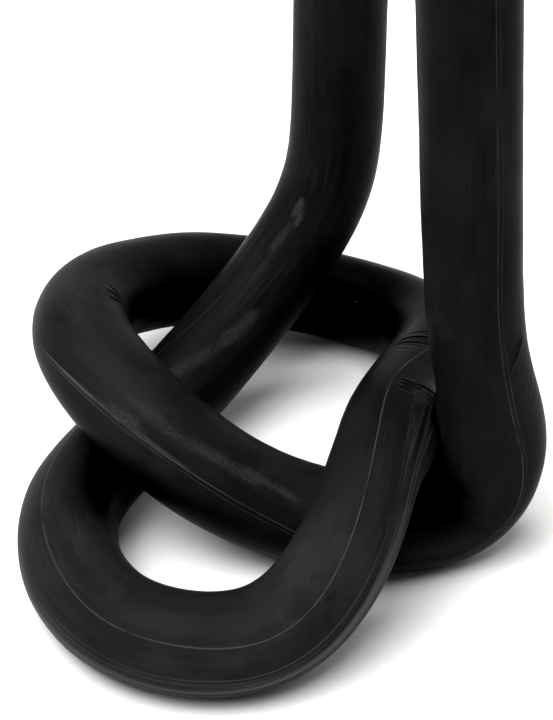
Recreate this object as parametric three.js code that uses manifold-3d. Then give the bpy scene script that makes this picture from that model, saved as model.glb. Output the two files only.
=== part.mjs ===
// A double-ended candle: one round wax rod bent into a clasp knot that stands on a table,
// with both ends rising side by side and one cotton wick running through its whole length.
// Millimetres, +Z up, origin at the middle of the footprint on the table.

import * as THREE from "three";
import { NURBSCurve } from "three/addons/curves/NURBSCurve.js";
import { mergeVertices } from "three/addons/utils/BufferGeometryUtils.js";
import Module from "manifold-3d";

const wasm = await Module();
wasm.setup();

// Driving dimensions
const rodDiameter = 22; // the knot's whole route grows with it
const legHeight = 180; // table to the wax tips
const tipLength = 18; // where the rod draws in towards the wick
const tipNose = 4; // wax left around the wick at the very tip
const wickDiameter = 2.6;
const wickProjection = 10; // wick above each tip
const wickClearance = 0.3;

// Fineness
const rodSteps = 160;
const rodSides = 18;
const boreSides = 6;
const tipRings = 6;

const rodRadius = rodDiameter / 2;
const boreRadius = wickDiameter / 2 + wickClearance;
const routeScale = rodDiameter / 22; // the list below is for a 22 mm rod

// The rod's route through the knot, from the foot of the right leg to the foot of the left one.
const kneeRight = [41, -18, 60];
const kneeLeft = [14, 46, 74];
const leanRight = [-0.06, 0.025]; // sideways travel for each millimetre of height
const leanLeft = [0, -0.01];
const knotRoute = [
  [45, -17, 43], // right leg swells out
  [49, -16, 30],
  [47.5, -17, 16.5], // and turns under itself
  [39, -20.5, 9.5],
  [28, -24, 10.6], // along the table, under the crossing limb
  [15, -24, 11],
  [2, -22, 13],
  [-12, -20, 19], // ring's front strand climbs to the left
  [-26, -15, 28.5],
  [-39, -3, 36],
  [-46, 14, 36], // ring's left end, over the loop's strand
  [-42, 33, 31],
  [-33, 46, 24.5],
  [-19, 57, 19.5], // back strand sinks to the table
  [0, 62, 13.5],
  [20, 59.5, 9.5],
  [35, 48, 12],
  [39, 28, 20], // corner behind the right leg
  [31, 6, 26.5],
  [24.5, -13, 32.5], // limb comes forward over the ring's front strand
  [21.5, -30, 35.3],
  [17, -44, 29],
  [10, -52, 17],
  [-1, -60, 10.6], // front loop lies on the table
  [-17, -62.5, 10.6],
  [-34, -56.5, 10.6],
  [-45.5, -39, 10.6],
  [-46.5, -17, 10.6],
  [-37, 0, 10.6], // under the ring's left end
  [-28, 12, 12],
  [-18, 23, 17], // up through the ring
  [-9, 32, 24],
  [0, 39, 33],
  [8, 44, 44],
  [13, 46, 57],
];

function legRoute(knee, lean) {
  const foot = new THREE.Vector3(...knee).multiplyScalar(routeScale);
  return [0, 1, 2, 3].map((third) => {
    const rise = ((legHeight - foot.z) * third) / 3;
    return new THREE.Vector3(foot.x + lean[0] * rise, foot.y + lean[1] * rise, foot.z + rise);
  });
}

function makeRoute() {
  const points = [
    ...legRoute(kneeRight, leanRight).reverse(),
    ...knotRoute.map((point) => new THREE.Vector3(...point).multiplyScalar(routeScale)),
    ...legRoute(kneeLeft, leanLeft),
  ];
  const spans = points.length - 3;
  const knots = [0, 0, 0, ...Array.from({ length: spans + 1 }, (_, i) => i), spans, spans, spans];
  const controls = points.map((point) => new THREE.Vector4(point.x, point.y, point.z, 1));
  const curve = new NURBSCurve(3, knots, controls);
  curve.arcLengthDivisions = 1200;
  return curve;
}

function ringShape(outer, outerSides, inner = 0, innerSides = 0) {
  const polygon = (radius, sides) =>
    Array.from({ length: sides }, (_, i) => {
      const angle = ((i + 0.5) * 2 * Math.PI) / sides;
      return new THREE.Vector2(radius * Math.cos(angle), radius * Math.sin(angle));
    });
  const shape = new THREE.Shape(polygon(outer, outerSides));
  if (inner > 0) {
    // corners pushed out so that the flats keep the clearance
    shape.holes.push(new THREE.Path(polygon(inner / Math.cos(Math.PI / innerSides), innerSides)));
  }
  return shape;
}

function sweep(shape, path) {
  return new THREE.ExtrudeGeometry(shape, { steps: rodSteps, extrudePath: path, bevelEnabled: false });
}

function toSolid(geometry, matrix = new THREE.Matrix4()) {
  const bare = geometry.clone().applyMatrix4(matrix);
  bare.deleteAttribute("normal");
  bare.deleteAttribute("uv");
  const merged = mergeVertices(bare, 1e-4);
  return new wasm.Manifold(
    new wasm.Mesh({
      numProp: 3,
      vertProperties: new Float32Array(merged.attributes.position.array),
      triVerts: new Uint32Array(merged.index.array),
    })
  );
}

function toGeometry(solid) {
  const mesh = solid.getMesh();
  const geometry = new THREE.BufferGeometry();
  geometry.setAttribute("position", new THREE.BufferAttribute(mesh.vertProperties, 3));
  geometry.setIndex(new THREE.BufferAttribute(mesh.triVerts, 1));
  geometry.computeVertexNormals();
  return geometry;
}

// Stands a shape that was made around +Y at a tip of the rod, pointing out along it.
function atTip(tip, outward) {
  const turn = new THREE.Quaternion().setFromUnitVectors(new THREE.Vector3(0, 1, 0), outward);
  return new THREE.Matrix4().compose(tip, turn, new THREE.Vector3(1, 1, 1));
}

// The ring that is cut away around a tip, leaving an elliptical nose.
function tipCutter() {
  const widest = rodRadius + 0.4;
  const nose = [];
  for (let i = 0; i <= tipRings; i++) {
    const angle = (i / tipRings) * (Math.PI / 2) * 0.92;
    const radius = tipNose + (widest - tipNose) * Math.cos(angle);
    nose.push(new THREE.Vector2(radius, tipLength * (Math.sin(angle) - 1)));
  }
  const profile = [
    new THREE.Vector2(rodRadius + 4, -tipLength),
    new THREE.Vector2(rodRadius + 4, 1),
    new THREE.Vector2(tipNose, 1),
    ...nose.reverse(),
    new THREE.Vector2(rodRadius + 4, -tipLength),
  ];
  return new THREE.LatheGeometry(profile, rodSides);
}

function tableBlock() {
  const block = new THREE.BoxGeometry(20 * rodDiameter, 20 * rodDiameter, rodDiameter);
  return block.translate(0, 0, -rodRadius);
}

function wickStub() {
  // starts a little inside the swept wick so that the two join
  const stub = new THREE.CylinderGeometry(wickDiameter * 0.42, wickDiameter * 0.48, wickProjection + 1, 8);
  return stub.translate(0, (wickProjection - 1) / 2, 0);
}

const route = makeRoute();
const tips = [
  { place: route.getPoint(0), outward: route.getTangent(0).negate() },
  { place: route.getPoint(1), outward: route.getTangent(1) },
];

let rod = toSolid(sweep(ringShape(rodRadius, rodSides, boreRadius, boreSides), route));
let wick = toSolid(sweep(ringShape(wickDiameter / 2, boreSides), route));
for (const { place, outward } of tips) {
  rod = rod.subtract(toSolid(tipCutter(), atTip(place, outward)));
  wick = wick.add(toSolid(wickStub(), atTip(place, outward)));
}
rod = rod.subtract(toSolid(tableBlock()));

const rodGeometry = toGeometry(rod);
const wickGeometry = toGeometry(wick);
rodGeometry.computeBoundingBox();
const middle = rodGeometry.boundingBox.getCenter(new THREE.Vector3());

const group = new THREE.Group();
const waxRod = new THREE.Mesh(
  rodGeometry,
  new THREE.MeshStandardMaterial({ color: 0x0b0b0b, roughness: 0.42, metalness: 0 })
);
waxRod.name = "wax_rod";
group.add(waxRod);

const cottonWick = new THREE.Mesh(
  wickGeometry,
  new THREE.MeshStandardMaterial({ color: 0xd8d0bd, roughness: 0.95, metalness: 0 })
);
cottonWick.name = "wick";
group.add(cottonWick);

for (const piece of [waxRod, cottonWick]) {
  piece.position.set(-middle.x, -middle.y, 0);
}

export default group;
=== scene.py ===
import math

import bmesh
import bpy
import numpy as np
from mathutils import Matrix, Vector, noise


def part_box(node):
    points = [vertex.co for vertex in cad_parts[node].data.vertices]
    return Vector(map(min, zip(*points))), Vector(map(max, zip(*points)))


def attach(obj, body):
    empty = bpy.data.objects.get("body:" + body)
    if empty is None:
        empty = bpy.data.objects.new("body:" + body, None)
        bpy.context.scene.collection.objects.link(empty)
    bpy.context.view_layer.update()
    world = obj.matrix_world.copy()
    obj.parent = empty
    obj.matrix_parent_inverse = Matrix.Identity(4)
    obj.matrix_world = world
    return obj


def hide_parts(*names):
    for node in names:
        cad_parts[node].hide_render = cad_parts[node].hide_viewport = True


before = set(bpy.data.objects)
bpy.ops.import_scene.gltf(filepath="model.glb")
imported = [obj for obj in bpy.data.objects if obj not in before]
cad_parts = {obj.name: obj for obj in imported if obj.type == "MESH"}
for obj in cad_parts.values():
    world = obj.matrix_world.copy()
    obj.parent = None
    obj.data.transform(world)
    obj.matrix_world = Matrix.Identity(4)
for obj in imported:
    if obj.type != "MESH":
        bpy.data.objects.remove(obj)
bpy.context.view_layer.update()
print("frame loaded:", sorted(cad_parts))


# looking down at the front of the knot; the two legs run out at the top

view = {
    "place": (-0.0013, -0.3998, 0.350),
    "downTilt": 38,          # degrees below level
    "lens": 115,
}


def makeCamera():
    data = bpy.data.cameras.new("camera")
    data.lens = view["lens"]
    data.sensor_width = 36
    data.clip_start = 0.01
    data.clip_end = 20
    camera = bpy.data.objects.new("camera", data)
    camera.location = view["place"]
    camera.rotation_euler = (math.radians(90 - view["downTilt"]), 0, 0)
    bpy.context.scene.collection.objects.link(camera)
    bpy.context.scene.camera = camera
    print("camera placed")


rod = {
    "radius": 0.011,
    "legHeight": 0.180,
    "tipLength": 0.018,
    "tipNose": 0.0030,
    "tipRoundness": 2.4,
    "tipRings": 24,
    "boreRadius": 0.0016,    # the wick lies in it
    "sides": 80,
    "seamCrowd": 0.62,       # how far the sides crowd together at the seam
    "legStep": 0.0018,       # between rings on the straight legs
    "bendStep": 0.00082,     # between rings in the knot
    "fineStep": 0.00036,     # between rings where the wax is creased
    "boreStep": 0.005,
    "fineRows": [(3.05, 4.6), (13.75, 14.4), (21.55, 23.6)],
}

# the rod's way through the knot, from the right tip to the left one
kneeRight = (0.041, -0.018, 0.060)
kneeLeft = (0.014, 0.046, 0.074)
leanRight = (-0.06, 0.025)   # sideways travel for each unit of height
leanLeft = (0.0, -0.01)
legRightSeam = (0.43, -0.90, 0.0)
legLeftSeam = (-0.6, -0.8, 0.0)
legRightGirth = (0.93, 0.935, 0.935, 0.93)   # knee to tip
legLeftGirth = (0.955, 0.945, 0.93, 0.91)

# place in metres, thickness as a share of the rod's, and where the mould seam faces
knotRows = [
    ((0.045, -0.017, 0.043), 0.94, (0.43, -0.90, 0.0)),       # right leg swells out
    ((0.049, -0.016, 0.030), 0.95, (0.43, -0.90, 0.0)),
    ((0.0475, -0.017, 0.0165), 0.96, (0.52, -0.84, -0.1)),   # and turns under itself
    ((0.039, -0.0205, 0.0095), 0.97, (0.44, -0.88, -0.15)),
    ((0.028, -0.024, 0.0106), 1.0, (0.05, -0.88, -0.40)),      # under the crossing limb
    ((0.015, -0.024, 0.011), 1.0, (0.0, -0.97, 0.0)),
    ((0.002, -0.022, 0.013), 1.02, (0.0, -0.93, 0.36)),
    ((-0.012, -0.020, 0.019), 1.05, (0.0, -0.88, 0.48)),      # ring's front strand climbs
    ((-0.026, -0.015, 0.0285), 1.07, (-0.22, -0.82, 0.53)),
    ((-0.039, -0.003, 0.036), 1.05, (-0.46, -0.76, 0.46)),
    ((-0.046, 0.014, 0.036), 1.0, (-0.95, -0.25, 0.15)),      # ring's left end
    ((-0.042, 0.033, 0.031), 1.01, (-0.80, 0.30, 0.50)),
    ((-0.033, 0.046, 0.0245), 1.03, (-0.50, 0.60, 0.60)),
    ((-0.019, 0.057, 0.0195), 1.02, (-0.20, 0.70, 0.70)),     # back strand sinks to the table
    ((0.0, 0.062, 0.0135), 0.97, (0.0, 0.70, 0.70)),
    ((0.020, 0.0595, 0.0095), 0.97, (0.20, 0.65, 0.75)),
    ((0.035, 0.048, 0.012), 0.95, (0.45, 0.40, 0.80)),
    ((0.039, 0.028, 0.020), 0.90, (0.60, 0.10, 0.80)),        # corner behind the right leg
    ((0.031, 0.006, 0.0265), 0.88, (0.30, -0.05, 0.92)),
    ((0.0245, -0.013, 0.0325), 0.88, (-0.05, 0.10, 0.98)),     # limb over the front strand
    ((0.0215, -0.030, 0.0353), 0.90, (-0.05, -0.15, 0.97)),
    ((0.017, -0.044, 0.029), 0.95, (0.05, -0.66, 0.75)),
    ((0.010, -0.052, 0.017), 1.0, (0.10, -0.70, 0.70)),
    ((-0.001, -0.060, 0.0106), 1.0, (0.10, -0.76, 0.64)),     # front loop lies on the table
    ((-0.017, -0.0625, 0.0106), 1.0, (0.0, -0.79, 0.61)),
    ((-0.034, -0.0565, 0.0106), 1.0, (-0.38, -0.58, 0.71)),
    ((-0.0455, -0.039, 0.0106), 1.0, (-0.45, -0.15, 0.88)),
    ((-0.0465, -0.017, 0.0106), 1.0, (-0.39, 0.01, 0.82)),
    ((-0.037, 0.0, 0.0106), 0.99, (-0.46, 0.20, 0.70)),       # under the ring's left end
    ((-0.028, 0.012, 0.012), 0.99, (-0.55, 0.20, 0.80)),
    ((-0.018, 0.023, 0.017), 0.99, (-0.50, -0.20, 0.85)),     # up through the ring
    ((-0.009, 0.032, 0.024), 0.97, (-0.50, -0.40, 0.75)),
    ((0.0, 0.039, 0.033), 0.945, (-0.55, -0.50, 0.65)),
    ((0.008, 0.044, 0.044), 0.95, (-0.60, -0.60, 0.50)),
    ((0.013, 0.046, 0.057), 0.96, (-0.65, -0.70, 0.20)),
]


def legRows(knee, lean, girths, seam):
    rows = []
    for third, girth in enumerate(girths):
        up = (rod["legHeight"] - knee[2]) * third / 3
        rows.append(((knee[0] + lean[0] * up, knee[1] + lean[1] * up, knee[2] + up), girth, seam))
    return rows


def splineSamples(rows, cuts):
    table = np.array([[*place, girth, *facing] for place, girth, facing in rows])
    table = np.vstack([2 * table[0] - table[1], table, 2 * table[-1] - table[-2]])   # straight ends
    t = np.linspace(0, 1, cuts, endpoint=False)[:, None]
    weights = np.hstack([(1 - t)**3, 3 * t**3 - 6 * t**2 + 4, -3 * t**3 + 3 * t**2 + 3 * t + 1, t**3]) / 6
    spans = [weights @ table[i:i + 4] for i in range(len(table) - 3)]
    return np.vstack(spans + [(table[-3] + 4 * table[-2] + table[-1])[None] / 6])


def unit(vectors):
    return vectors / np.linalg.norm(vectors, axis=-1, keepdims=True)


def makeTrack(places, facings):
    steps = np.linalg.norm(np.diff(places, axis=0), axis=1)
    length = np.concatenate([[0], np.cumsum(steps)])
    tangent = unit(np.gradient(places, axis=0))
    normal = unit(facings - (facings * tangent).sum(1)[:, None] * tangent)
    return {
        "length": length,
        "place": places,
        "normal": normal,
        "side": np.cross(tangent, normal),
        "bend": np.gradient(tangent, axis=0) / np.gradient(length)[:, None],
    }


def alongTrack(track, key, length):
    values = track[key]
    columns = [np.interp(length, track["length"], values[:, k]) for k in range(3)]
    return np.stack(columns, axis=-1)


cutsPerRow = 160
rows = (
    legRows(kneeRight, leanRight, legRightGirth, legRightSeam)[::-1]
    + knotRows
    + legRows(kneeLeft, leanLeft, legLeftGirth, legLeftSeam)
)
rightKneeRow = len(legRightGirth) - 1
leftKneeRow = rightKneeRow + len(knotRows) + 1
samples = splineSamples(rows, cutsPerRow)
wickLow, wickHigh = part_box("wick")
places = samples[:, :3].copy()
for axis in (0, 1):      # the CAD part is centred on its footprint
    places[:, axis] += (wickLow[axis] + wickHigh[axis] - places[:, axis].min() - places[:, axis].max()) / 2
rodTrack = makeTrack(places, samples[:, 4:7])
rodGirth = samples[:, 3]
rodLength = rodTrack["length"][-1]
print(f"rod route: {rodLength * 1000:.0f} mm long")


def lengthAtRow(row):
    return np.interp(row * cutsPerRow, np.arange(len(samples)), rodTrack["length"])


# a profile is spun into a straight bar, and the bar is then bent along a track

def spinBar(name, profile, sides, closed):
    mesh = bmesh.new()
    points = [mesh.verts.new((radius, 0, length)) for radius, length in profile]
    ends = zip(points, points[1:] + points[:1]) if closed else zip(points, points[1:])
    edges = [mesh.edges.new(pair) for pair in ends]
    bmesh.ops.spin(
        mesh, geom=points + edges, cent=(0, 0, 0), axis=(0, 0, 1), dvec=(0, 0, 0),
        angle=2 * math.pi, steps=sides, use_merge=True, use_duplicate=False,
    )
    bmesh.ops.remove_doubles(mesh, verts=mesh.verts, dist=1e-7)
    bmesh.ops.recalc_face_normals(mesh, faces=mesh.faces)
    data = bpy.data.meshes.new(name)
    mesh.to_mesh(data)
    mesh.free()
    bar = bpy.data.objects.new(name, data)
    bpy.context.scene.collection.objects.link(bar)
    return bar


def barCoordinates(bar):
    flat = np.zeros(len(bar.data.vertices) * 3)
    bar.data.vertices.foreach_get("co", flat)
    straight = flat.reshape(-1, 3)
    x, y, length = straight.T
    return np.hypot(x, y), np.arctan2(y, x), length


def acrossTrack(track, angle, length):
    return (
        alongTrack(track, "normal", length) * np.cos(angle)[:, None]
        + alongTrack(track, "side", length) * np.sin(angle)[:, None]
    )


def finishBar(bar, points):
    bar.data.vertices.foreach_set("co", points.astype(np.float32).ravel())
    bar.data.update()
    bar.data.shade_smooth()


def keepVector(bar, name, values):
    layer = bar.data.attributes.new(name, "FLOAT_VECTOR", "POINT")
    layer.data.foreach_set("vector", values.astype(np.float32).ravel())


def ease(value, low, high):
    t = np.clip((value - low) / (high - low), 0, 1)
    return t * t * (3 - 2 * t)


def noiseAt(points, seed):
    offset = Vector((seed * 17.3, seed * 5.1, seed * 9.7))
    return np.array([noise.noise(Vector(point) + offset) for point in points])


def aroundAndAlong(angle, length, turns, waves):
    return np.stack([np.cos(angle) * turns, np.sin(angle) * turns, length * waves], axis=1)


marks = {
    "waveHeight": 0.00013,     # slow swell and hollow of a hand-drawn rod
    "waveLength": 0.017,
    "foldStart": 0.52,         # how tight a bend puckers its inner side
    "foldFull": 0.80,
    "foldDepth": 0.00022,
    "foldSpacing": 0.0034,
    "seamHeight": 0.00006,
    "seamWidth": 0.00022,
    "touchRows": 0.8,          # where two strands were pressed together while warm
    "touchLength": 0.024,
    "touchReach": 0.0075,
    "touchGap": 0.00006,
}
touches = [(4.25, 22.55), (8.55, 23.55), (12.7, 32.0)]    # rows of the strands that meet

# row, reach in rows, the way it swells, height: where a bend or a touch squeezed the wax out
lumps = [
    (5.3, 1.8, (-0.90, -0.15, 0.40), 0.0050),    # inside the right leg's turn
    (4.6, 1.3, (-1.00, -0.20, 0.00), 0.0016),
    (7.6, 1.4, (0.10, -0.10, 1.00), 0.0036),
    (23.4, 1.1, (1.00, -0.20, -0.35), 0.0021),   # the limb beside it
]

# row, degrees round from the seam, reach in degrees, slant, depth, half width
creases = [
    (21.74, 22, 34, 0.45, 0.00014, 0.00045),     # folds fanning over the corner
    (21.92, 28, 38, 0.30, 0.00032, 0.00045),
    (22.07, 34, 36, 0.10, 0.00022, 0.00042),
    (22.24, 40, 30, -0.10, 0.00010, 0.00045),
    (13.92, 124, 16, 0.3, 0.00050, 0.00038),     # inside the ring's left end
    (14.05, 126, 18, -0.1, 0.00070, 0.00040),
    (14.17, 122, 14, -0.4, 0.00045, 0.00036),
    (3.22, -27, 11, 1.25, 0.00085, 0.00036),     # two short cracks above the right leg's swell
    (3.31, -15, 9, 1.25, 0.00070, 0.00034),
    (3.55, -38, 20, 0.9, 0.00006, 0.00050),
    (3.76, -40, 22, 0.8, 0.00008, 0.00055),
    (4.00, -42, 22, 0.7, 0.00006, 0.00060),
    (4.26, -44, 22, 0.6, 0.00005, 0.00060),
    (23.02, -36, 30, 0.2, 0.00040, 0.00042),     # crumpled where the limb touched the leg
    (23.14, -40, 32, 0.0, 0.00060, 0.00040),
    (23.27, -38, 28, -0.2, 0.00045, 0.00042),
    (23.10, -26, 8, 2.4, 0.00050, 0.00034),
    (23.22, -54, 10, -1.8, 0.00045, 0.00034),
    (23.36, -44, 12, 1.2, 0.00030, 0.00034),
    (23.06, -58, 9, -2.6, 0.00040, 0.00032),
    (23.30, -30, 8, 3.0, 0.00040, 0.00032),
]

# row, degrees round from the seam, half length in rows, half width in degrees, strength
rubsAndPaintedHighlights = [
    (37.45, 12, 0.34, 6, 1.0),       # painted highlight streak down the left leg
    (37.15, 20, 0.30, 5, 1.0),
    (36.7, 14, 0.60, 6, 0.75),
    (35.9, 18, 0.60, 5, 0.45),
    (34.7, 50, 0.70, 11, 0.75),
    (33.8, 44, 0.60, 13, 0.60),
    (38.6, -40, 0.22, 5, 0.9),
    (12.0, 26, 0.70, 8, 0.55),       # painted grainy highlight band along the ring's front strand
    (11.2, 30, 0.80, 8, 0.75),
    (10.4, 34, 0.80, 7, 0.80),
    (12.3, 6, 0.35, 9, 0.80),
    (14.0, 58, 0.80, 34, 0.40),      # dull end of the ring
    (14.3, 98, 0.50, 26, 0.40),
    (24.5, -14, 0.80, 11, 0.22),
    (23.2, -42, 0.26, 26, 0.62),
    (22.1, 34, 0.25, 26, 0.15),
]

# row, degrees round from the seam, half length in rows, half width in degrees, strength
hollows = [                          # wax made darker, to stand for deep shade
    (5.4, 118, 1.1, 66, 0.90),       # inside the right leg's turn
    (7.3, 105, 1.5, 85, 0.92),       # under the limb
    (31.1, 85, 1.1, 75, 0.85),       # under the ring's left end
    (11.0, -75, 2.6, 48, 0.75),      # underneath the ring's front strand
]

# how plainly the mould seam and the line beside it show, by row
seamRows = (0, 3, 3.6, 6.5, 8, 11.2, 11.8, 13.0, 13.6, 22, 23.5, 29, 31, 33, 42)
seamShows = (0.30, 0.35, 0.60, 0.55, 0.25, 0.40, 1.0, 0.90, 0.30, 0.35, 0.50, 0.55, 0.35, 0.12, 0.10)
twinShows = (0.25, 0.30, 0.55, 0.55, 0.25, 0.40, 0.75, 0.60, 0.10, 0, 0, 0, 0, 0, 0)

# how light the wax is along the rod, as pairs of row and share of its own colour; the darker stretches on
# the back strand, at the corner behind the right leg and at the top of the limb are painted shade
haze = [
    (0, 0.9), (3.0, 1.15), (4.4, 1.5), (6.5, 1.2), (8.5, 1.15), (11.5, 1.4), (14.2, 1.15), (15.3, 0.72),
    (19.5, 0.62), (21.3, 0.22), (22.9, 0.60), (24.2, 1.1), (25.5, 1.8), (31.0, 1.75), (32.5, 1.0),
    (34.5, 0.85), (36.0, 1.1), (42, 1.15),
]


def ringStations():
    tip = rod["tipLength"]
    quarter = np.linspace(0, math.pi / 2, rod["tipRings"])
    stations = list(tip * (1 - np.cos(quarter)))
    legEnds = (lengthAtRow(rightKneeRow) - 0.010, lengthAtRow(leftKneeRow) + 0.010)
    fine = [(lengthAtRow(first), lengthAtRow(last)) for first, last in rod["fineRows"]]
    while stations[-1] < rodLength - tip - rod["legStep"]:
        place = stations[-1]
        step = rod["legStep"] if place < legEnds[0] or place > legEnds[1] else rod["bendStep"]
        if any(first < place < last for first, last in fine):
            step = rod["fineStep"]
        stations.append(place + step)
    return np.array(stations + list(rodLength - tip * (1 - np.cos(quarter[::-1]))))


def rodProfile():
    tip = rod["tipLength"]
    outside = []
    for length in ringStations():
        fromTip = min(length, rodLength - length, tip) / tip
        dome = math.sqrt(max(0.0, 1 - (1 - fromTip)**rod["tipRoundness"]))
        outside.append((rod["tipNose"] + (rod["radius"] - rod["tipNose"]) * dome, length))
    cuts = int(rodLength / rod["boreStep"])
    bore = [(rod["boreRadius"], rodLength * (cuts - i) / cuts) for i in range(cuts + 1)]
    return outside + bore


def foldPattern(angle, length, inward):
    strength = ease(inward, marks["foldStart"], marks["foldFull"])
    wander = noiseAt(aroundAndAlong(angle, length, 1.3, 90), 3)
    wave = np.abs(np.sin(math.pi * (length / marks["foldSpacing"] + 0.9 * wander)))
    patch = np.clip(0.45 + 1.1 * noiseAt(aroundAndAlong(angle, length, 2, 140), 4), 0, 1.2)
    return (1 - wave)**1.5 * patch * strength


def creasePattern(angle, length):
    groove = np.zeros(len(angle))
    lip = np.zeros(len(angle))
    wander = noiseAt(aroundAndAlong(angle, length, 9, 300), 5)
    for row, around, reach, slant, depth, half in creases:
        turn = (np.degrees(angle) - around + 180) % 360 - 180
        offset = length - lengthAtRow(row) - slant * np.radians(turn) * rod["radius"] + wander * half * 0.9
        window = np.clip(1 - np.abs(turn) / reach, 0, 1)**0.7
        groove += depth * window * np.exp(-(offset / half)**2)
        lip += depth * 0.45 * window * np.exp(-((np.abs(offset) - 2.1 * half) / half)**2)
    return groove, lip


def patchPattern(angle, row, patches, ragged, inner, outer):
    shown = np.zeros(len(angle))
    for middle, around, halfRows, halfTurn, strength in patches:
        turn = (np.degrees(angle) - around + 180) % 360 - 180
        away = np.hypot((row - middle) / halfRows, turn / halfTurn) + ragged
        shown = np.maximum(shown, strength * (1 - ease(away, inner, outer)))
    return shown


def lumpHeights(across, length):
    height = np.zeros(len(length))
    for row, reach, way, rise in lumps:
        fromMiddle = np.abs(length - lengthAtRow(row)) / (lengthAtRow(row + reach) - lengthAtRow(row))
        height += rise * (1 - ease(fromMiddle, 0, 1)) * ease(across @ unit(np.array(way)), 0.0, 0.95)
    return height


def pressTouches(points, across, length, body):
    for pair in touches:
        starts = [lengthAtRow(row - marks["touchRows"]) for row in pair]
        stops = [lengthAtRow(row + marks["touchRows"]) for row in pair]
        spans = [np.linspace(start, stop, 80) for start, stop in zip(starts, stops)]
        first, second = (alongTrack(rodTrack, "place", span) for span in spans)
        gaps = np.linalg.norm(first[:, None] - second[None], axis=2)
        i, j = np.unravel_index(gaps.argmin(), gaps.shape)
        towards = unit(second[j] - first[i])
        centres = (spans[0][i], spans[1][j])
        radii = [np.interp(s, rodTrack["length"], rodGirth) * rod["radius"] for s in centres]
        middle = first[i] + towards * (gaps[i, j] + radii[0] - radii[1]) / 2
        for way, centre in zip((towards, -towards), centres):
            near = (np.abs(length - centre) < marks["touchLength"]) & (body > 0) & (across @ way > 0)
            depth = (points[near] - middle) @ way           # negative on the strand's own side
            sideways = np.linalg.norm(points[near] - middle - depth[:, None] * way, axis=1)
            pull = (1 - ease(sideways, 0, marks["touchReach"])) * ease(across[near] @ way, 0.35, 0.8)
            wanted = depth + (-marks["touchGap"] - depth) * pull
            pressed = np.minimum(wanted, -marks["touchGap"])
            wanted = np.where(sideways < marks["touchReach"] * 1.3, pressed, depth)
            points[near] += (wanted - depth)[:, None] * way
        print(f"strands pressed together, {(gaps[i, j] - sum(radii)) * 1000:.1f} mm closed")
    return points


def makeRod():
    bar = spinBar("waxRod", rodProfile(), rod["sides"], closed=True)
    radius, angle, length = barCoordinates(bar)
    angle = angle - rod["seamCrowd"] * np.sin(angle)
    body = ease(radius, 0.0045, 0.009)                      # marks fade out on the tips and in the bore
    swell = 1 + (np.interp(length, rodTrack["length"], rodGirth) - 1) * (radius > rod["boreRadius"] * 1.2)
    across = acrossTrack(rodTrack, angle, length)
    inward = (across * alongTrack(rodTrack, "bend", length)).sum(1) * rod["radius"]
    surface = aroundAndAlong(angle, length, rod["radius"], 1)
    wave = noiseAt(surface / marks["waveLength"], 1) + 0.4 * noiseAt(surface / (marks["waveLength"] / 3), 2)
    folds = foldPattern(angle, length, inward)
    groove, lip = creasePattern(angle, length)
    fromSeam = np.arctan2(np.sin(angle), np.cos(angle)) * rod["radius"]
    height = (
        marks["waveHeight"] * wave
        - marks["foldDepth"] * folds
        - groove + lip
        + lumpHeights(across, length)
        + marks["seamHeight"] * np.exp(-(fromSeam / marks["seamWidth"])**2)
    )
    points = alongTrack(rodTrack, "place", length) + across * (radius * swell + height * body)[:, None]
    points = pressTouches(points, across, length, body)
    low, high = (np.array(corner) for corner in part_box("wax_rod"))
    points = np.clip(points, low, high)                     # kept in the CAD box: worn flat where it lies
    finishBar(bar, points)
    keepVector(bar, "rodSurface", surface)
    worn = np.clip((groove + lip) / 0.0004 + folds, 0, 1)
    row = np.interp(length, rodTrack["length"], np.arange(len(samples)) / cutsPerRow)
    ragged = 0.6 * noiseAt(np.stack([np.cos(angle) * 3, np.sin(angle) * 3, row * 2.5], axis=1), 6)
    # rubbed wax, together with painted highlight streaks and bands
    rubbedAndHighlit = patchPattern(angle, row, rubsAndPaintedHighlights, ragged, 0.5, 1.15)
    keepVector(bar, "rodWearAndHighlight", np.stack([np.clip(-inward, -1, 1), worn, rubbedAndHighlit], axis=1))
    wander = noiseAt(np.stack([length * 40, length * 0, length * 0], axis=1), 7) * 0.0005
    shows = [np.interp(row, seamRows, strengths) * body for strengths in (seamShows, twinShows)]
    keepVector(bar, "rodSeam", np.stack([*shows, wander], axis=1))
    # lightness of the wax by row, times painted shade in the hollows
    light = np.interp(row, *zip(*haze)) * (1 - patchPattern(angle, row, hollows, 0.0, 0.4, 1.2))
    keepVector(bar, "rodHazeAndPaintedShade", np.stack([light] * 3, axis=1))
    print(f"wax rod: {len(bar.data.polygons)} faces")
    return bar


def addNode(tree, kind, inputs=(), **settings):
    made = tree.nodes.new(kind)
    for name, value in settings.items():
        setattr(made, name, value)
    for socket, value in dict(inputs).items():
        if isinstance(value, bpy.types.NodeSocket):
            tree.links.new(value, made.inputs[socket])
        else:
            made.inputs[socket].default_value = value
    return made


def newMaterial(name):
    material = bpy.data.materials.new(name)
    material.use_nodes = True
    tree = material.node_tree
    tree.nodes.clear()
    shader = addNode(tree, "ShaderNodeBsdfPrincipled")
    addNode(tree, "ShaderNodeOutputMaterial", {"Surface": shader.outputs[0]})
    return material, tree, shader


def maths(tree, operation, first, second=0.0):
    return addNode(tree, "ShaderNodeMath", {0: first, 1: second}, operation=operation).outputs[0]


def times(tree, first, second):
    return maths(tree, "MULTIPLY", first, second)


def most(tree, value, *others):
    for other in others:
        value = maths(tree, "MAXIMUM", value, other)
    return value


def splitVector(tree, vector):
    return addNode(tree, "ShaderNodeSeparateXYZ", {0: vector}).outputs


def attribute(tree, name):
    return addNode(tree, "ShaderNodeAttribute", attribute_name=name).outputs["Vector"]


def remap(tree, value, low, high, outLow=0.0, outHigh=1.0):
    inputs = {"Value": value, "From Min": low, "From Max": high, "To Min": outLow, "To Max": outHigh}
    return addNode(tree, "ShaderNodeMapRange", inputs, clamp=True).outputs["Result"]


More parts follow.
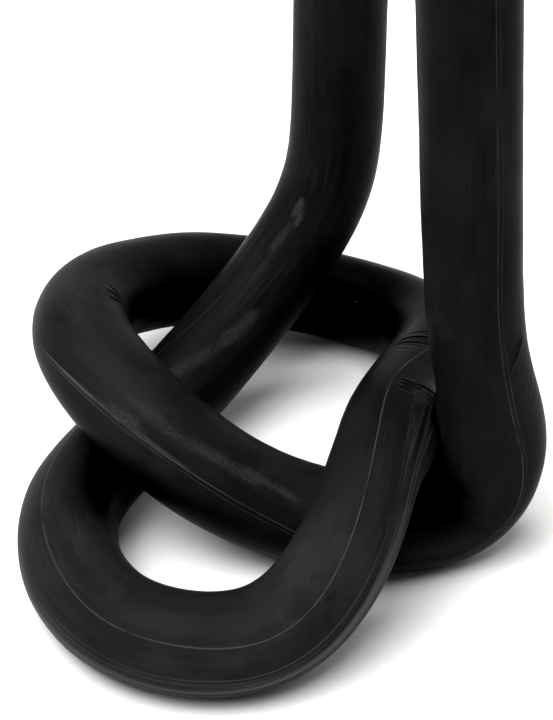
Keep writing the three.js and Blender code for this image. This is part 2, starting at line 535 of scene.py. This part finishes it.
def between(tree, value, low, high, soft):
    rising = remap(tree, value, low - soft, low + soft)
    return times(tree, rising, remap(tree, value, high - soft, high + soft, 1, 0))


def overRows(tree, along, rows, soft):
    return between(tree, along, lengthAtRow(rows[0]), lengthAtRow(rows[1]), soft)


def speckle(tree, vector, stretch, scale, detail, roughness):
    placed = addNode(tree, "ShaderNodeMapping", {"Vector": vector, "Scale": (1, 1, stretch)})
    inputs = {"Vector": placed.outputs[0], "Scale": scale, "Detail": detail, "Roughness": roughness}
    return addNode(tree, "ShaderNodeTexNoise", inputs).outputs["Fac"]


def bumped(tree, height, depth, below=None):
    inputs = {"Strength": 1.0, "Distance": depth, "Height": height}
    if below is not None:
        inputs["Normal"] = below
    return addNode(tree, "ShaderNodeBump", inputs).outputs[0]


def blend(tree, factor, first, second):
    mixed = addNode(tree, "ShaderNodeMix", {0: factor}, data_type="RGBA")
    for socket, value in ((6, first), (7, second)):
        if isinstance(value, bpy.types.NodeSocket):
            tree.links.new(value, mixed.inputs[socket])
        else:
            mixed.inputs[socket].default_value = (*value, 1)
    return mixed.outputs[2]


wax = {
    "deep": (0.0042, 0.0046, 0.0045),
    "haze": (0.0100, 0.0109, 0.0106),
    "pale": (0.058, 0.061, 0.059),        # seam line, scuffs, cracked edges and painted highlights
    "speck": (0.22, 0.215, 0.205),
    "smoothest": 0.30,
    "roughest": 0.50,
    "specular": 0.013,
    "lineDepth": 0.00005,
    "grainDepth": 0.000030,
    "twinOffset": 0.0011,                 # the second, fainter line beside the seam
    "flank": (-0.0114, -0.0068),          # sideways from the seam, where there are long scratches
    "flankRows": [(23.2, 30.6), (7.0, 11.0)],
    "gougeRows": (25.2, 30.4),            # where some of them are deep
    "seamEdge": (-0.0019, 0.0009),        # and the same beside the seam
    "seamEdgeRows": (11.6, 13.2),
    "seamEdgeGouges": 0.7,
    "scuffs": 0.80,                       # how plainly each kind of wear and painted highlight shows
    "stretchScuffs": 0.22,
    "crumbsAndGrainyHighlight": 0.62,
    "crackCrumbs": 0.3,
    "polishAndPaintedSheen": 0.26,
    "bloom": 0.75,
    "speckScale": 150,
    "speckless": 0.84,                    # share of the cells that hold no speck
    "patterns": {                         # stretch along the rod, scale, detail, roughness
        "drawn": (0.010, 2900, 3, 0.75),  # fine lines along the rod
        "deep": (0.006, 1500, 2, 0.5),    # longer and deeper ones
        "broad": (0.035, 520, 3, 0.6),
        "grain": (0.8, 3400, 2, 0.7),
        "cloud": (0.45, 95, 4, 0.6),
        "patches": (0.5, 60, 3, 0.55),
        "breaks": (0.25, 300, 3, 0.7),
        "film": (0.7, 48, 5, 0.6),
    },
}


def makeWax():
    material, tree, shader = newMaterial("blackWax")
    surface = attribute(tree, "rodSurface")
    toward, sideways, along = splitVector(tree, surface)
    stretched, cracked, rubbedAndHighlit = splitVector(tree, attribute(tree, "rodWearAndHighlight"))
    seamShown, twinShown, wander = splitVector(tree, attribute(tree, "rodSeam"))
    made = {name: speckle(tree, surface, *pattern) for name, pattern in wax["patterns"].items()}

    # the mould seam and the fainter line beside it, broken here and there
    seamSide = remap(tree, toward, 0.0, 0.002)
    offset = maths(tree, "ADD", sideways, wander)
    fromSeam = maths(tree, "ABSOLUTE", offset)
    twinPlace = maths(tree, "ADD", maths(tree, "ADD", offset, wander), wax["twinOffset"])
    fromTwin = maths(tree, "ABSOLUTE", twinPlace)
    seam = times(tree, seamShown, remap(tree, fromSeam, 0.00007, 0.00020, 1, 0))
    twin = times(tree, twinShown, remap(tree, fromTwin, 0.00004, 0.00016, 0.8, 0))
    breaks = remap(tree, made["breaks"], 0.36, 0.54, 0.15, 1)
    seam = times(tree, times(tree, most(tree, seam, twin), seamSide), breaks)

    # long scratches on the flank, some of them deep, and deep ones beside the seam
    flank = between(tree, sideways, *wax["flank"], 0.0007)
    stretches = [overRows(tree, along, rows, 0.006) for rows in wax["flankRows"]]
    flank = times(tree, flank, most(tree, *stretches))
    gougedFlank = times(tree, flank, overRows(tree, along, wax["gougeRows"], 0.008))
    beside = between(tree, sideways, *wax["seamEdge"], 0.0006)
    beside = times(tree, beside, overRows(tree, along, wax["seamEdgeRows"], 0.004))
    beside = times(tree, beside, times(tree, breaks, seamSide))
    gougeHere = most(tree, gougedFlank, times(tree, beside, wax["seamEdgeGouges"]))
    gouges = times(tree, remap(tree, made["deep"], 0.575, 0.625), gougeHere)

    # fine scuffs in patches, on the flank and where the rod is stretched; crumbs on worn wax; painted
    # grainy highlight and painted sheen on the rubbed bands
    stretchHere = remap(tree, stretched, 0.30, 0.85, 0.0, wax["stretchScuffs"])
    scuffHere = most(tree, remap(tree, made["patches"], 0.54, 0.68, 0.0, 0.25), stretchHere, flank)
    scuffs = times(tree, remap(tree, made["drawn"], 0.53, 0.68), scuffHere)
    crumbledAndHighlit = most(tree, times(tree, cracked, wax["crackCrumbs"]), rubbedAndHighlit)
    crumbsAndGrainyHighlight = times(tree, remap(tree, made["grain"], 0.50, 0.64), crumbledAndHighlit)
    polishedAndPaintedSheen = maths(tree, "POWER", rubbedAndHighlit, 2.5)
    pale = most(
        tree, seam, gouges, times(tree, scuffs, wax["scuffs"]),
        times(tree, crumbsAndGrainyHighlight, wax["crumbsAndGrainyHighlight"]), times(tree, polishedAndPaintedSheen, wax["polishAndPaintedSheen"]),
    )

    cells = addNode(tree, "ShaderNodeTexVoronoi", {
        "Vector": surface, "Scale": wax["speckScale"], "Randomness": 1,
    })
    chance = splitVector(tree, cells.outputs["Color"])[0]
    dot = remap(tree, cells.outputs["Distance"], 0.015, 0.028, 1, 0)
    speck = times(tree, maths(tree, "GREATER_THAN", chance, wax["speckless"]), dot)

    # cloudy bloom over the deep black, with a thin film in places
    film = remap(tree, made["film"], 0.53, 0.56, 0, 0.35)
    clouded = times(tree, remap(tree, made["cloud"], 0.40, 0.68), 0.60)
    lined = times(tree, remap(tree, made["drawn"], 0.38, 0.62), 0.30)
    bloom = maths(tree, "ADD", maths(tree, "ADD", clouded, lined), film)
    colour = blend(tree, times(tree, bloom, wax["bloom"]), wax["deep"], wax["haze"])
    # scaled by the lightness along the rod, which holds painted shade
    scaled = {0: colour, 1: attribute(tree, "rodHazeAndPaintedShade")}
    colour = addNode(tree, "ShaderNodeVectorMath", scaled, operation="MULTIPLY").outputs[0]
    colour = blend(tree, pale, colour, wax["pale"])
    colour = blend(tree, speck, colour, wax["speck"])
    tree.links.new(colour, shader.inputs["Base Color"])

    rough = maths(tree, "ADD", times(tree, made["cloud"], 0.6), times(tree, made["drawn"], 0.4))
    rough = remap(tree, rough, 0.35, 0.65, wax["smoothest"], wax["roughest"])
    tree.links.new(rough, shader.inputs["Roughness"])
    shader.inputs["Specular IOR Level"].default_value = wax["specular"]

    lines = maths(tree, "ADD", times(tree, made["drawn"], 0.6), times(tree, made["broad"], 0.6))
    relief = bumped(tree, lines, wax["lineDepth"])
    tree.links.new(bumped(tree, made["grain"], wax["grainDepth"], relief), shader.inputs["Normal"])
    print("wax ready")
    return material


wick = {
    "coreRadius": 0.0013,
    "coreSides": 16,
    "coreStep": 0.0022,
    "shows": 0.0100,
    "rooted": 0.004,         # how far the strands reach down into the wax
    "strands": 3,
    "strandRadius": 0.00060,
    "strandSides": 14,
    "strandRings": 90,
    "strandTaper": 0.0006,   # smaller for strands that end more bluntly
    "braidRadius": 0.00068,
    "braidPitch": 0.0042,
    "yarnPitch": 0.0016,     # how far a yarn travels for each radian round its strand
    "yarns": 5,
    "curl": 0.0011,
    "colour": (0.69, 0.63, 0.51),
    "shaded": (0.46, 0.40, 0.30),
    "stain": (0.025, 0.023, 0.021),
    "fibres": (0.35, 5200, 3, 0.7),
    "fibreDepth": 0.00012,
}


def makeStrand(name, tipLength, outward, normal, side, turn):
    along = np.linspace(-wick["rooted"], wick["shows"] - 0.0003, 120)
    phase = 2 * math.pi * (along / wick["braidPitch"] + turn)
    sway = wick["curl"] * ease(along, 0.001, wick["shows"])**1.3
    places = (
        alongTrack(rodTrack, "place", np.array([tipLength]))
        + outward * along[:, None]
        + normal * (wick["braidRadius"] * np.sin(phase) * 1.25 + sway)[:, None]
        + side * (wick["braidRadius"] * np.sin(2 * phase) * 0.6)[:, None]
    )
    track = makeTrack(places, np.tile(side, (len(places), 1)))
    total = track["length"][-1]
    profile = [(0.0, 0.0)]
    for s in np.linspace(0, total, wick["strandRings"]):
        share = min(1, 0.35 + min(s, total - s) / wick["strandTaper"])
        profile.append((wick["strandRadius"] * share, s))
    profile.append((0.0, total))
    bar = spinBar(name, profile, wick["strandSides"], closed=False)
    radius, angle, length = barCoordinates(bar)
    twist = angle + length / wick["yarnPitch"]
    ribbed = radius * (1 + 0.10 * np.abs(np.sin(twist * wick["yarns"] / 2)))
    points = alongTrack(track, "place", length) + acrossTrack(track, angle, length) * ribbed[:, None]
    finishBar(bar, points)
    height = np.interp(length, track["length"], along) / wick["shows"]
    keepVector(bar, "wickYarn", np.stack([twist, radius * 1000, height], axis=1))
    return bar


def makeWick():
    steps = np.arange(0, rodLength, wick["coreStep"])
    profile = [(0.0, 0.0)] + [(wick["coreRadius"], s) for s in steps] + [(wick["coreRadius"], rodLength)]
    core = spinBar("braidedWick", profile + [(0.0, rodLength)], wick["coreSides"], closed=False)
    radius, angle, length = barCoordinates(core)
    points = alongTrack(rodTrack, "place", length) + acrossTrack(rodTrack, angle, length) * radius[:, None]
    finishBar(core, points)
    twist = angle + length / wick["yarnPitch"]
    keepVector(core, "wickYarn", np.stack([twist, radius * 1000, radius * 0], axis=1))
    strands = [core]
    for end, tipLength in enumerate((0.0, rodLength)):
        inside = 0.001 if end == 0 else rodLength - 0.001
        here, before = (alongTrack(rodTrack, "place", np.array([s]))[0] for s in (tipLength, inside))
        outward = unit(here - before)
        normal = alongTrack(rodTrack, "normal", np.array([tipLength]))[0]
        side = np.cross(outward, normal)
        for strand in range(wick["strands"]):
            turn = strand / wick["strands"]
            strands.append(makeStrand(f"strand{end}{strand}", tipLength, outward, normal, side, turn))
    with bpy.context.temp_override(active_object=core, selected_editable_objects=strands):
        bpy.ops.object.join()
    print(f"wick: {len(core.data.polygons)} faces")
    return core


def makeCotton():
    material, tree, shader = newMaterial("cottonYarn")
    yarn = attribute(tree, "wickYarn")
    height = splitVector(tree, yarn)[2]
    coords = addNode(tree, "ShaderNodeTexCoord").outputs["Object"]
    fibres = speckle(tree, coords, *wick["fibres"])
    soaked = maths(tree, "SUBTRACT", height, times(tree, fibres, 0.16))
    colour = blend(tree, remap(tree, fibres, 0.3, 0.7, 0.0, 0.45), wick["colour"], wick["shaded"])
    colour = blend(tree, remap(tree, soaked, 0.02, 0.16, 1, 0), colour, wick["stain"])
    tree.links.new(colour, shader.inputs["Base Color"])
    tree.links.new(remap(tree, fibres, 0.3, 0.7, 0.85, 1.0), shader.inputs["Roughness"])
    shader.inputs["Specular IOR Level"].default_value = 0.2
    shader.inputs["Sheen Weight"].default_value = 0.25
    twists = addNode(tree, "ShaderNodeTexWave", {
        "Vector": yarn, "Scale": 1.6, "Distortion": 1.2, "Detail": 2.0, "Detail Scale": 3.0,
    }, bands_direction="X")
    relief = maths(tree, "ADD", twists.outputs["Fac"], times(tree, fibres, 0.6))
    tree.links.new(bumped(tree, relief, wick["fibreDepth"]), shader.inputs["Normal"])
    print("cotton ready")
    return material


studio = {
    "floorSize": 30.0,
    "floorColour": (0.84, 0.84, 0.84),
    "wallLight": 0.70,          # brightness of the pale wall behind
    "ceilingLight": 0.40,
    "frontLight": 0.08,         # the room in front is dark, as a share of the wall
    "blackLevel": 0.0038,       # deepens the darkest blacks
    "glowStart": 0.30,          # painted light: the paper glows brighter away from the candle
    "glowFull": 1.10,
    "boxes": [                  # place, size, power
        ((-0.38, -0.24, 1.40), 1.5, 48.0),
        ((0.90, 0.10, 0.85), 0.8, 2.5),
        ((-0.42, -0.36, 1.15), 0.40, 3.0),
    ],
}


def makeStudio():
    mesh = bmesh.new()
    bmesh.ops.create_grid(mesh, x_segments=1, y_segments=1, size=studio["floorSize"] / 2)
    data = bpy.data.meshes.new("paleFloor")
    mesh.to_mesh(data)
    mesh.free()
    floor = bpy.data.objects.new("paleFloor", data)
    bpy.context.scene.collection.objects.link(floor)
    material, tree, shader = newMaterial("palePaper")
    shader.inputs["Base Color"].default_value = (*studio["floorColour"], 1)
    shader.inputs["Roughness"].default_value = 0.9
    shader.inputs["Specular IOR Level"].default_value = 0.1
    # painted light: the floor's emission grows with distance from the middle
    spot = addNode(tree, "ShaderNodeTexCoord").outputs["Object"]
    away = addNode(tree, "ShaderNodeVectorMath", {0: spot}, operation="LENGTH").outputs["Value"]
    glow = remap(tree, away, studio["glowStart"], studio["glowFull"])
    tree.links.new(glow, shader.inputs["Emission Strength"])
    shader.inputs["Emission Color"].default_value = (1, 1, 1, 1)
    data.materials.append(material)

    world = bpy.data.worlds.new("room")
    bpy.context.scene.world = world
    world.use_nodes = True
    room = world.node_tree
    room.nodes.clear()
    way = splitVector(room, addNode(room, "ShaderNodeTexCoord").outputs["Generated"])
    wall = remap(room, way[2], 0.05, 0.45, studio["wallLight"], studio["ceilingLight"])
    behind = remap(room, way[1], -0.25, 0.30, studio["frontLight"], 1.0)
    horizon = remap(room, way[2], 0.12, 0.20, 1.0, 0.0)           # pale all round, low down
    light = most(room, times(room, wall, behind), horizon)
    backdrop = addNode(room, "ShaderNodeBackground", {"Color": (1, 1, 1, 1), "Strength": light})
    addNode(room, "ShaderNodeOutputWorld", {"Surface": backdrop.outputs[0]})

    for place, size, power in studio["boxes"]:
        lamp = bpy.data.lights.new("softBox", "AREA")
        lamp.size = size
        lamp.energy = power
        box = bpy.data.objects.new("softBox", lamp)
        box.location = place
        box.rotation_euler = (-box.location).to_track_quat("-Z", "Y").to_euler()
        bpy.context.scene.collection.objects.link(box)
    look = bpy.context.scene.view_settings
    look.view_transform = "Standard"
    look.use_curve_mapping = True
    look.curve_mapping.black_level = (studio["blackLevel"],) * 3
    look.curve_mapping.update()
    print("floor and lights ready")


makeCamera()
waxRod = makeRod()
waxRod.data.materials.append(makeWax())
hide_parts("wax_rod")
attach(waxRod, "root")

braidedWick = makeWick()
braidedWick.data.materials.append(makeCotton())
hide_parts("wick")
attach(braidedWick, "root")

makeStudio()
